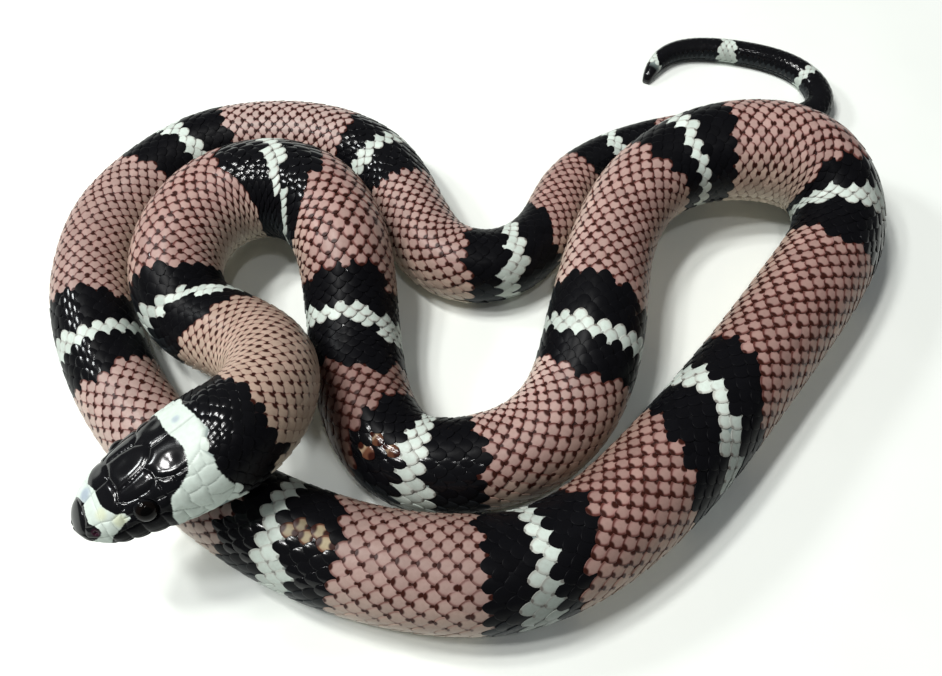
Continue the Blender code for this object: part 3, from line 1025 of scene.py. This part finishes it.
def skin():
    """One skin from the snout to the tip of the tail."""
    share = np.linspace(0, 1, HEAD_RINGS)
    head_s = 0.02 + (HEAD_END - 0.02) * share**1.35
    head_angle = -180 + 360 * np.arange(HEAD_SIDES) / HEAD_SIDES
    s, angle = np.meshgrid(head_s, head_angle, indexing="ij")
    covered = coat_share(s, angle)
    inset = coat_depth(s) * covered + BOX_MARGIN
    plain = surface(s, angle)
    relief, seam, mouth_shade, nostril = head_relief(s, angle, plain)
    head = surface(s, angle, -inset) + normals_of(plain) * relief[..., None]
    black, white = markings(s, angle)
    colour = base_colour(s, angle, black, white)
    below = (1 - black - white)[..., None] * np.array(UNDER_PINK) + white[..., None] * np.array(UNDER_WHITE)
    colour = colour * (1 - covered[..., None]) + (below + black[..., None] * np.array(BLACK)) * covered[..., None]
    # Seams are drawn darker, and the slit of the mouth gets painted shade
    seam_darkening_and_mouth_shade = 1 - 0.3 * np.exp(-((seam / 0.05) ** 2)) * (1 - covered) - 0.8 * mouth_shade
    colour = colour * np.clip(seam_darkening_and_mouth_shade, 0.12, 1)[..., None]
    # Painted shade: a dark reddish patch in and round each nostril's hole
    colour = mix(colour, (0.035, 0.007, 0.018), 0.85 * (1 - ease(nostril, 0.3, 0.95)))
    for patch_s, patch_angle, reach, patch in PATCHES:
        away = np.linalg.norm(plain - surface(np.array(patch_s), np.array(patch_angle)), axis=-1)
        colour = mix(colour, patch, 0.75 * (1 - ease(away, 0.3 * reach, reach)) * white)
    shine = 1.0 - 0.9 * ease(np.abs(angle), 58, 80)
    head_colour = np.concatenate([colour, shine[..., None]], axis=-1)

    count = round((SNAKE.length - HEAD_END) / BODY_RING_STEP)
    body_s = np.linspace(HEAD_END, SNAKE.length - 0.02, count + 1)[1:]
    body_angle = -180 + 360 * np.arange(BODY_SIDES) / BODY_SIDES
    s2, angle2 = np.meshgrid(body_s, body_angle, indexing="ij")
    body = surface(s2, angle2, -coat_depth(s2) - BOX_MARGIN)
    black, white = markings(s2, angle2)
    pale = ease(np.abs(angle2), 75, 105)[..., None]
    under = (1 - black - white)[..., None] * (np.array(UNDER_PINK) * (1 - pale) + 0.4 * np.array(CREAM) * pale)
    under = under + black[..., None] * np.array(BLACK) + white[..., None] * np.array(UNDER_WHITE)
    body_colour = with_alpha(under)

    points = np.concatenate([head.reshape(-1, 3), body.reshape(-1, 3)])
    colours = np.concatenate([head_colour.reshape(-1, 4), body_colour.reshape(-1, 4)])
    quads, triangles, quad_uv, triangle_uv = [], [], [], []

    def tube(rings, sides, first_point, place):
        i, j = np.meshgrid(np.arange(rings - 1), np.arange(sides), indexing="ij")
        i, j = i.ravel(), j.ravel()
        following = (j + 1) % sides
        a = first_point + i * sides
        quads.append(np.stack([a + j, a + following, a + sides + following, a + sides + j], axis=-1))
        quad_uv.append(place(i, j))

    def head_place(i, j):
        corners = [(i, j), (i, j + 1), (i + 1, j + 1), (i + 1, j)]
        rows = [np.stack([0.01 + 0.98 * ring / HEAD_RINGS, 0.51 + 0.48 * side / HEAD_SIDES], axis=-1) for ring, side in corners]
        return np.stack(rows, axis=1)

    def body_place(i, j):
        strip = np.floor(body_s[i] / SNAKE.length * STRIPS)
        corners = [(i, j), (i, j + 1), (i + 1, j + 1), (i + 1, j)]
        return np.stack([unwrap(body_s[ring], -180 + 360 * side / BODY_SIDES, strip) for ring, side in corners], axis=1)

    tube(HEAD_RINGS, HEAD_SIDES, 0, head_place)
    body_first = HEAD_RINGS * HEAD_SIDES
    tube(len(body_s), BODY_SIDES, body_first, body_place)
    # The finer head joins the body's first ring by a fan of triangles
    ratio = HEAD_SIDES // BODY_SIDES
    last = (HEAD_RINGS - 1) * HEAD_SIDES
    for j in range(BODY_SIDES):
        here, after = body_first + j, body_first + (j + 1) % BODY_SIDES
        places = [last + (j * ratio + m) % HEAD_SIDES for m in range(ratio + 1)]
        angles = [-180 + 360 * (j * ratio + m) / HEAD_SIDES for m in range(ratio + 1)]
        half = ratio // 2
        for m in range(ratio):
            apex, apex_angle = (here, angles[0]) if m < half else (after, angles[-1])
            triangles.append((places[m], places[m + 1], apex))
            triangle_uv.append([(HEAD_END, angles[m]), (HEAD_END, angles[m + 1]), (body_s[0], apex_angle)])
        triangles.append((here, places[half], after))
        triangle_uv.append([(body_s[0], angles[0]), (HEAD_END, angles[half]), (body_s[0], angles[-1])])
    # Closing fans at the snout and at the tail's tip
    snout = len(points)
    nose = plain[0].mean(axis=0)
    points = np.concatenate([points, [nose, body[-1].mean(axis=0)]])
    colours = np.concatenate([colours, [head_colour[0, 0], body_colour[-1, 0]]])
    tip_first = body_first + (len(body_s) - 1) * BODY_SIDES
    for j in range(BODY_SIDES):
        triangles.append((snout + 1, tip_first + j, tip_first + (j + 1) % BODY_SIDES))
        triangle_uv.append([(body_s[-1], 6 * j), (body_s[-1] - 1, 6 * j), (body_s[-1] - 1, 6 * j + 6)])
    triangle_uv = np.array(triangle_uv, float)
    strip = np.floor(triangle_uv[:, :1, 0] / SNAKE.length * STRIPS - 0.001)
    placed = unwrap(triangle_uv[..., 0], triangle_uv[..., 1] * np.ones_like(strip), strip)
    front = []
    for j in range(HEAD_SIDES):
        triangles.append((snout, (j + 1) % HEAD_SIDES, j))
        front.append([(u, 0.51 + 0.48 * (j + k) / HEAD_SIDES) for u, k in ((0.005, 0.5), (0.01, 1), (0.01, 0))])
    placed = np.concatenate([placed, np.array(front)])
    obj = new_mesh("skin", points, np.concatenate(quads), triangles, [("tint", colours)])
    set_uv(obj.data, np.concatenate([np.concatenate(quad_uv).reshape(-1, 2), placed.reshape(-1, 2)]))
    obj.data.materials.append(skin_material())
    return obj


# One scale: a rounded rhombus whose front half slips under its neighbours, closed below
SCALE_SIDES = 16
SCALE_RINGS = (0.4, 0.74, 0.92, 1.0)
SCALE_EXPONENT = 1.55
SCALE_REAR = 0.465
SCALE_FRONT = 0.6
SCALE_ACROSS = 0.9
DOMING = 0.3
TILT = 0.12
WET = 2.0
WET_DOMING = 1.2


def scale_template():
    """Unit places along and across of one scale, which of them form its top, and its faces."""
    turn = 2 * np.pi * np.arange(SCALE_SIDES) / SCALE_SIDES
    reach = (np.abs(np.cos(turn)) ** SCALE_EXPONENT + np.abs(np.sin(turn)) ** SCALE_EXPONENT) ** (-1 / SCALE_EXPONENT)
    rim = np.stack([reach * np.cos(turn), reach * np.sin(turn)], axis=-1)
    places = [np.zeros((1, 2))] + [rim * ring for ring in SCALE_RINGS] + [rim * 0.98]
    places = np.concatenate(places)
    top = np.ones(len(places), bool)
    top[-SCALE_SIDES:] = False
    triangles = [(0, 1 + i, 1 + (i + 1) % SCALE_SIDES) for i in range(SCALE_SIDES)]
    quads = []
    for ring in range(len(SCALE_RINGS)):
        for i in range(SCALE_SIDES):
            after = (i + 1) % SCALE_SIDES
            first = 1 + ring * SCALE_SIDES
            quads.append((first + i, first + SCALE_SIDES + i, first + SCALE_SIDES + after, first + after))
    last = 1 + len(SCALE_RINGS) * SCALE_SIDES
    for i in range(1, SCALE_SIDES // 2):
        j = SCALE_SIDES - i
        first, second = last + i, last + (i + 1) % SCALE_SIDES
        third, fourth = last + (j - 1) % SCALE_SIDES, last + j
        if second == third:
            continue
        quads.append((second, first, fourth, third))
    triangles.append((last + 1, last, last + SCALE_SIDES - 1))
    triangles.append((last + SCALE_SIDES // 2 + 1, last + SCALE_SIDES // 2, last + SCALE_SIDES // 2 - 1))
    return places, top, np.array(quads)[:, ::-1], np.array(triangles)[:, ::-1]


def scale_places():
    """Middle of each dorsal scale, by distance from the snout and by degrees from the crown, with its row's pitch."""
    s = np.arange(8.0, SNAKE.length - 3.0, 0.25)
    count = np.concatenate([[0.0], np.cumsum(0.25 / read(SCALE_LENGTHS, 0.5 * (s[1:] + s[:-1])))])
    found = []
    for row in range(-ROWS_SIDE, ROWS_SIDE + 1):
        numbers = np.arange(0, int(count[-1])) + 0.5 * (row % 2)
        at = np.interp(numbers, count, s)
        rows = read(TAIL_ROWS, at)
        pitch = DORSAL_EDGE / (rows + 0.55)
        angle = row * pitch
        keep = (abs(row) <= rows + 0.3) & (coat_share(at, angle) > 0.5)
        found.append(np.stack([at[keep], angle[keep], pitch[keep]], axis=-1))
    return np.concatenate(found)


def belly_places():
    s = np.arange(20.5, SNAKE.length - 4.0, 0.25)
    count = np.concatenate([[0.0], np.cumsum(0.25 / read(SCALE_LENGTHS, 0.5 * (s[1:] + s[:-1])))])
    return np.interp(np.arange(0, int(count[-1])), count, s)


def add_piece(name, points, quads, triangles, tint, at, uv, finish):
    obj = new_mesh(name, points, quads, triangles, [("tint", tint), ("at", at)])
    corners = np.zeros(len(obj.data.loops), np.int32)
    obj.data.loops.foreach_get("vertex_index", corners)
    set_uv(obj.data, uv[corners])
    obj.data.materials.append(finish)
    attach(obj, "root")
    return obj


def is_wet(places):
    wet = np.zeros(len(places), bool)
    for start, end, low, high in SHINY:
        wet |= (places[:, 0] > start) & (places[:, 0] < end) & (places[:, 1] > low) & (places[:, 1] < high)
    return wet


def odd_scales(places, tint, spot, black, draw):
    """Tan scales inside the black rings."""
    dark = black > 0.5
    for s, angle in FLECKS:
        away = np.hypot(places[:, 0] - s, np.radians(places[:, 1] - angle) * SNAKE.girth(s))
        i = np.argmin(away)
        if dark[i] and away[i] < 2 * FLECK_REACH:
            tint[i] = np.array(FLECK) * (0.6 + 0.8 * draw.random())
            spot[i] = 1.6
    return tint, spot


def coat(finish):
    places = scale_places()
    places = places[np.argsort(places[:, 0], kind="stable")]
    draw = np.random.default_rng(11)
    unit, top, quads, triangles = scale_template()
    s, angle, pitch = places[:, 0:1], places[:, 1:2], places[:, 2:3]
    black, white = markings(places[:, 0], places[:, 1])
    length = read(SCALE_LENGTHS, s)
    radius = SNAKE.girth(s)
    across = np.radians(pitch) * radius
    size = 1 + 0.05 * draw.standard_normal(s.shape)
    along = np.where(unit[None, :, 0] > 0, SCALE_REAR, SCALE_FRONT) * unit[None, :, 0] * length * size
    aside = unit[None, :, 1] * across * SCALE_ACROSS * size
    depth = coat_depth(s)
    back = (1 - unit[None, :, 0]) / 2
    wet = is_wet(places) & (black > 0.5)
    dome = DOMING * (1 + WET_DOMING * wet)[:, None]
    lift = -depth * (0.05 + 0.75 * back**1.2 + dome * unit[None, :, 1] ** 2 + 0.5 * dome * unit[None, :, 0] ** 2)
    lift = lift + depth * TILT * draw.standard_normal(s.shape) * (unit[None, :, 0] - 1)
    lift = lift + depth * TILT * draw.standard_normal(s.shape) * unit[None, :, 1]
    lift = np.where(top[None, :], np.minimum(lift, -0.01 * depth), -depth * 1.15) - BOX_MARGIN
    where = s + along
    turned = angle + np.degrees(aside / radius)
    points = surface(where, turned, lift)
    tint = base_colour(places[:, 0], places[:, 1], black, white)
    tint = tint * np.exp(0.07 * draw.standard_normal((len(tint), 1)))
    tint = painted_light_and_tint(tint, places[:, 0], places[:, 1], 1 - black - white)
    off = np.abs(places[:, 1])
    spot = (1 - 0.75 * ease(off, 62, 86)) * (1 - black) * (1 - 0.7 * white) * read(SPOTS, places[:, 0])
    spot = spot * np.clip(1 + 0.15 * draw.standard_normal(len(spot)), 0.5, 1.3)
    tint, spot = odd_scales(places, tint, spot, black, draw)
    count = unit.shape[0]
    tint = np.repeat(np.concatenate([tint, spot[:, None]], axis=-1)[:, None, :], count, axis=1)
    rim = (np.abs(unit) ** SCALE_EXPONENT).sum(axis=1) ** (1 / SCALE_EXPONENT)
    at = np.repeat(np.concatenate([unit, rim[:, None]], axis=-1)[None], len(places), axis=0)
    at[..., 2] -= np.maximum(0.15 * ease(off, 30, 65), read(LATTICE, places[:, 0]))[:, None]
    at[wet, :, 2] = WET
    strip = np.floor(s / SNAKE.length * STRIPS)
    uv = unwrap(s, angle, strip) + unit[None] * 0.0014
    for number, start in enumerate(range(0, len(places), PIECE_SCALES), 1):
        part = slice(start, min(start + PIECE_SCALES, len(places)))
        many = part.stop - part.start
        shift = (np.arange(many) * count)[:, None, None]
        add_piece(
            f"scales_{number}",
            points[part].reshape(-1, 3),
            (quads[None] + shift).reshape(-1, 4),
            (triangles[None] + shift).reshape(-1, 3),
            tint[part].reshape(-1, 4),
            at[part].reshape(-1, 3),
            uv[part].reshape(-1, 2),
            finish,
        )
    return len(places)


# Belly plates, one to each scale of the middle row, in two halves under the tail
PLATE_RINGS = 4
PLATE_SIDES = 14
PLATE_REACH = 1.22


def plates(finish):
    middles = belly_places()
    draw = np.random.default_rng(5)
    sides = [(DORSAL_EDGE - 1.0, 360.0 - DORSAL_EDGE + 1.0, middles[middles < VENT])]
    sides += [(DORSAL_EDGE - 1.0, 179.2, middles[middles >= VENT]), (180.8, 361.0 - DORSAL_EDGE, middles[middles >= VENT])]
    all_points, all_tint, all_at, all_uv, quads, triangles = [], [], [], [], [], []
    first = 0
    for start, end, places in sides:
        share = np.linspace(-1, 1, PLATE_RINGS)
        turn = np.linspace(start, end, PLATE_SIDES)
        for s in places:
            length = read(SCALE_LENGTHS, s)
            along = s + share * length * 0.5 * PLATE_REACH
            where, angle = np.meshgrid(along, turn, indexing="ij")
            middle_angle = 0.5 * (start + end)
            edge = np.abs(angle - middle_angle) / (0.5 * (end - start))
            where = where - 0.35 * length * edge**4 * (share[:, None] > 0.9)
            depth = coat_depth(s)
            back = (1 - share[:, None]) / 2
            top = surface(where, angle, -depth * (0.06 + 0.8 * back**1.4) * np.ones_like(angle))
            under = surface(where, angle, -depth * 1.2 * np.ones_like(angle))
            signed = np.where(angle > 180, angle - 360, angle)
            black, white = markings(np.full_like(angle, s), signed)
            tint = base_colour(where, signed, black, white) * np.exp(0.04 * draw.standard_normal())
            for level, points in enumerate((top, under)):
                all_points.append(points.reshape(-1, 3))
                all_tint.append(np.concatenate([tint, np.zeros_like(tint[..., :1])], axis=-1).reshape(-1, 4))
                at = np.stack([np.broadcast_to(share[:, None], angle.shape) * 0.4, edge * 0.4, edge * 0], axis=-1)
                all_at.append(at.reshape(-1, 3))
                strip = np.floor(s / SNAKE.length * STRIPS)
                root = unwrap(s, middle_angle - (360 if middle_angle >= 180 else 0), strip)
                all_uv.append((root + 0.0035 * at[..., :2]).reshape(-1, 2))
            n, m = PLATE_RINGS, PLATE_SIDES
            size = n * m
            for i in range(n - 1):
                for j in range(m - 1):
                    a = first + i * m + j
                    quads.append((a, a + 1, a + m + 1, a + m))
                    quads.append((a + size + m, a + size + m + 1, a + size + 1, a + size))
            rim = [j for j in range(m)] + [i * m + m - 1 for i in range(1, n)]
            rim += [(n - 1) * m + j for j in range(m - 2, -1, -1)] + [i * m for i in range(n - 2, 0, -1)]
            for here, after in zip(rim, rim[1:] + rim[:1]):
                quads.append((first + after, first + here, first + here + size, first + after + size))
            first += 2 * size
    return add_piece(
        "belly_plates",
        np.concatenate(all_points),
        np.array(quads),
        (),
        np.concatenate(all_tint),
        np.concatenate(all_at),
        np.concatenate(all_uv),
        finish,
    )


VENT = 566.0
EYE_RINGS = 40
EYE_SIDES = 64
PUPIL = 26.0
IRIS = 50.0


def eye_material():
    made, tree, shader = node_material("eye", 0.04)
    tint = add(tree, "ShaderNodeAttribute", attribute_name="tint")
    streaks = ramp_node(tree, noise_node(tree, 6000.0, 4.0), 0.35, 0.7)
    colour = mix_node(tree, math_node(tree, "MULTIPLY", streaks, 0.5), tint.outputs["Color"], (0.3, 0.25, 0.2), "MULTIPLY")
    tree.links.new(colour, shader.inputs["Base Color"])
    shader.inputs["IOR"].default_value = 1.2
    return made


def eye(name, sign, finish):
    """An eyeball with a round pupil, facing out of its socket."""
    middle = surface(np.array(EYE_ALONG), np.array(sign * EYE_FROM_CROWN), EYE_STANDS_OUT - EYE_RADIUS)
    out = surface(np.array(EYE_ALONG), np.array(sign * EYE_FROM_CROWN), EYE_STANDS_OUT) - middle
    out /= np.linalg.norm(out)
    _, tailward, _, _ = SNAKE.frames(np.array(EYE_ALONG))
    side = np.cross(out, tailward)
    side /= np.linalg.norm(side)
    ahead = np.cross(side, out)
    fall = np.linspace(0, np.pi, EYE_RINGS + 1)[1:-1]
    turn = 2 * np.pi * np.arange(EYE_SIDES) / EYE_SIDES
    f, t = np.meshgrid(fall, turn, indexing="ij")
    ball = np.cos(f)[..., None] * out + np.sin(f)[..., None] * (np.cos(t)[..., None] * ahead + np.sin(t)[..., None] * side)
    points = np.concatenate([(middle + EYE_RADIUS * ball).reshape(-1, 3), [middle + EYE_RADIUS * out, middle - EYE_RADIUS * out]])
    degrees = np.degrees(np.concatenate([f.ravel(), [0.0, np.pi]]))
    iris = mix((0.0015, 0.0015, 0.0015), (0.005, 0.0035, 0.003), ease(degrees, PUPIL - 2, PUPIL + 2))
    colour = mix(iris, (0.006, 0.0065, 0.0075), ease(degrees, IRIS - 6, IRIS + 4))
    quads, triangles = [], []
    rows = len(fall)
    for i in range(rows - 1):
        for j in range(EYE_SIDES):
            a, b = i * EYE_SIDES + j, i * EYE_SIDES + (j + 1) % EYE_SIDES
            quads.append((a, a + EYE_SIDES, b + EYE_SIDES, b))
    for j in range(EYE_SIDES):
        after = (j + 1) % EYE_SIDES
        triangles.append((len(points) - 2, j, after))
        triangles.append((len(points) - 1, (rows - 1) * EYE_SIDES + after, (rows - 1) * EYE_SIDES + j))
    obj = new_mesh(f"{name}_ball", points, quads, triangles, [("tint", with_alpha(colour))])
    obj.data.materials.append(finish)
    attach(obj, "root")
    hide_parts(name)


def stage():
    mesh = bpy.data.meshes.new("floor")
    reach = 1.5
    mesh.from_pydata([(-reach, -reach, 0), (reach, -reach, 0), (reach, reach, 0), (-reach, reach, 0)], [], [(0, 1, 2, 3)])
    floor = bpy.data.objects.new("floor", mesh)
    bpy.context.scene.collection.objects.link(floor)
    made, tree, shader = node_material("floor", 0.6)
    tint = mix_node(tree, ramp_node(tree, noise_node(tree, 30.0), 0.3, 0.7), (0.86, 0.89, 0.85), (0.89, 0.92, 0.88))
    tree.links.new(tint, shader.inputs["Base Color"])
    mesh.materials.append(made)


def aim(obj, target):
    from mathutils import Vector

    obj.rotation_euler = (Vector(target) - obj.location).to_track_quat("-Z", "Y").to_euler()


def lamp(name, place, target, size, power, colour=(1, 1, 1)):
    light = bpy.data.lights.new(name, "AREA")
    light.shape = "DISK"
    light.size = size
    light.energy = power
    light.color = colour
    obj = bpy.data.objects.new(name, light)
    obj.location = place
    bpy.context.scene.collection.objects.link(obj)
    aim(obj, target)


def lights():
    world = bpy.data.worlds.new("studio")
    bpy.context.scene.world = world
    world.use_nodes = True
    back = world.node_tree.nodes["Background"]
    back.inputs["Color"].default_value = (0.93, 0.97, 1.0, 1)
    back.inputs["Strength"].default_value = 0.12
    for number, (x, y) in enumerate(((-0.24, 0.05), (-0.36, -0.11), (-0.48, 0.03), (-0.35, 0.15)), 1):
        lamp(f"ceiling_{number}", (x, y, 0.80), (0, 0, 0), 0.09, 1.85, (1.0, 1.0, 0.98))
    lamp("window", (-0.58, 0.19, 0.50), (0, 0, 0), 0.12, 1.9, (0.97, 1.0, 1.0))
    lamp("top_spot", (0.06, -0.24, 0.84), (0, 0, 0), 0.06, 0.6)
    lamp("side_spot", (-0.47, -0.13, 0.74), (0, 0, 0), 0.03, 0.25)


def camera():
    lens = bpy.data.cameras.new("photo_view")
    lens.lens = 38.98
    lens.sensor_width = 36.0
    lens.clip_start = 0.005
    obj = bpy.data.objects.new("photo_view", lens)
    obj.location = (-0.0002, -0.0941, 0.1497)
    bpy.context.scene.collection.objects.link(obj)
    aim(obj, (-0.0002, -0.0077, 0.0))
    bpy.context.scene.camera = obj


camera()
stage()
lights()
whole = skin()
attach(whole, "root")
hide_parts(*[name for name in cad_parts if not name.startswith("eye")])
scale_finish = scale_material()
coat(scale_finish)
plates(scale_finish)
eye_finish = eye_material()
eye("eye_left", 1, eye_finish)
eye("eye_right", -1, eye_finish)
bpy.context.scene.view_settings.view_transform = "Standard"
